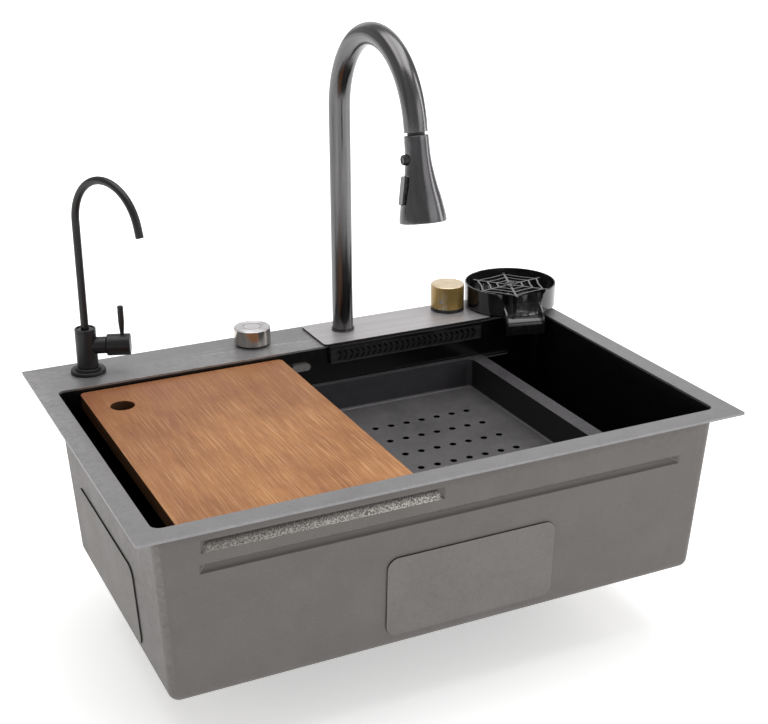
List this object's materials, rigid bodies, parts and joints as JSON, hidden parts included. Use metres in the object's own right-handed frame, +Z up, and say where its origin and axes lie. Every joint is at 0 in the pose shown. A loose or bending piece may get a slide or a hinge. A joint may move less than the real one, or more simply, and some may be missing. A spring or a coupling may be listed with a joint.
{
  "type": "workstation kitchen sink",
  "caption": "Drop-in steel workstation sink with a waterfall outlet, gooseneck pull-out tap, filter tap, knobs, cup rinser, wooden board and perforated tray.",
  "frame": {"origin": "centre of the rim's outline, on the worktop plane under the rim", "axes": "+X to the right, +Y towards the wall behind the taps, +Z up"},
  "size_m": [0.765, 0.534, 0.7428],
  "materials": {
    "rim": "brushed",
    "bowl": "dark nano-coated satin",
    "pad": "matt",
    "gunmetal": "brushed gunmetal",
    "steel": "plain",
    "polished": "mirror polished",
    "brass": "brushed",
    "plumbing_brass": "as turned",
    "black_metal": "matt black",
    "dark_steel": "dark satin",
    "black_plastic": "gloss",
    "matt_plastic": "matt",
    "grey_plastic": "matt",
    "white_plastic": "matt",
    "seal": "matt",
    "wood": "oiled"
  },
  "bodies": {
    "sink": {"top_panel": "rim", "bowl": "bowl", "front_rear_pads": "pad", "side_pads": "pad", "floor_pad": "pad", "overflow_cover": "polished", "overflow_housing": "matt_plastic", "overflow_gasket": "seal", "drain_dish": "steel", "drain_gasket": "seal", "drain_nut": "white_plastic", "drain_body": "white_plastic", "drain_screw": "steel", "waterfall_plate": "rim", "waterfall_box": "matt_plastic", "waterfall_grille": "black_plastic", "tap_shank": "dark_steel", "tap_bush": "white_plastic", "tap_washer": "seal", "tap_nut": "plumbing_brass", "filter_flange": "black_metal", "filter_body": "black_metal", "filter_shank": "plumbing_brass", "filter_washer": "seal", "filter_nut": "plumbing_brass", "filter_valve": "black_metal", "drain_knob_housing": "grey_plastic", "drain_knob_ring": "matt_plastic", "drain_knob_nut": "grey_plastic", "mixer_ring": "dark_steel", "mixer_cartridge": "plumbing_brass", "mixer_nut": "plumbing_brass", "rinser_bowl": "black_plastic", "rinser_valve": "matt_plastic", "rinser_shank": "grey_plastic", "rinser_nut": "grey_plastic", "rinser_spring": "steel"},
    "column": {"tap_column": "gunmetal", "tap_liner": "black_plastic"},
    "spray": {"spray_hose": "matt_plastic", "spray_connector": "plumbing_brass", "spray_head": "gunmetal", "spray_face": "matt_plastic"},
    "spray_button": {"spray_button": "matt_plastic"},
    "spray_rocker": {"spray_rocker": "matt_plastic"},
    "filter_spout": {"filter_spout": "black_metal", "filter_collar": "dark_steel"},
    "filter_handle": {"filter_hub": "black_metal", "filter_lever": "black_metal"},
    "drain_knob": {"drain_knob": "polished", "drain_knob_stem": "plumbing_brass"},
    "strainer": {"strainer_basket": "steel", "strainer_seal": "seal"},
    "mixer_knob": {"mixer_knob": "brass", "mixer_screw": "steel", "mixer_stem": "plumbing_brass"},
    "rinser_press": {"rinser_web": "black_plastic", "rinser_plunger": "steel"},
    "board": {"cutting_board": "wood"},
    "tray": {"drain_tray": "dark_steel"}
  },
  "joints": [
    {"name": "tap_swivel", "type": "hinge", "parent": "sink", "child": "column", "pos_m": [0.061, 0.217, 0.009], "axis": [0, 0, -1], "range_deg": [-90, 90]},
    {"name": "spray_pull", "type": "slide", "parent": "column", "child": "spray", "axis": [0, -0.1908, -0.9816], "range_m": [0, 0.15], "stiffness_N_per_m": 6, "springref_m": -1.2, "deforming": ["spray_hose"]},
    {"name": "spray_button_press", "type": "slide", "parent": "spray", "child": "spray_button", "axis": [1, 0, 0], "range_m": [0, 0.002], "stiffness_N_per_m": 400, "springref_m": -0.001},
    {"name": "spray_rocker_tilt", "type": "hinge", "parent": "spray", "child": "spray_rocker", "pos_m": [0.03933, -0.0176, 0.25787], "axis": [0, 0.9816, -0.1908], "range_deg": [-4, 4]},
    {"name": "filter_swivel", "type": "hinge", "parent": "sink", "child": "filter_spout", "pos_m": [-0.297, 0.222, 0.05], "axis": [0, 0, -1], "range_deg": [-66, 114]},
    {"name": "filter_lever_turn", "type": "hinge", "parent": "sink", "child": "filter_handle", "pos_m": [-0.25847, 0.20798, 0.039], "axis": [0.9397, -0.342, 0], "range_deg": [0, 90]},
    {"name": "drain_knob_turn", "type": "hinge", "parent": "sink", "child": "drain_knob", "pos_m": [-0.07, 0.225, 0.01], "axis": [0, 0, 1], "range_deg": [0, 90]},
    {"name": "strainer_lift", "type": "slide", "parent": "sink", "child": "strainer", "axis": [0, 0, 1], "range_m": [0, 0.0101]},
    {"name": "mixer_turn", "type": "hinge", "parent": "sink", "child": "mixer_knob", "pos_m": [0.232, 0.229, 0.02], "axis": [0, 0, 1], "range_deg": [0, 90]},
    {"name": "rinser_press_down", "type": "slide", "parent": "sink", "child": "rinser_press", "axis": [0, 0, -1], "range_m": [0, 0.005], "stiffness_N_per_m": 500, "springref_m": -0.004, "deforming": ["rinser_spring"]},
    {"name": "board_lift", "type": "slide", "parent": "sink", "child": "board", "axis": [0, 0, 1], "range_m": [0, 0.034]},
    {"name": "tray_slide", "type": "slide", "parent": "sink", "child": "tray", "axis": [1, 0, 0], "range_m": [-0.26, 0.085]}
  ],
  "couplings": [
    {"joint": "strainer_lift", "follows": "drain_knob_turn", "m_per_rad": 0.006366}
  ]
}
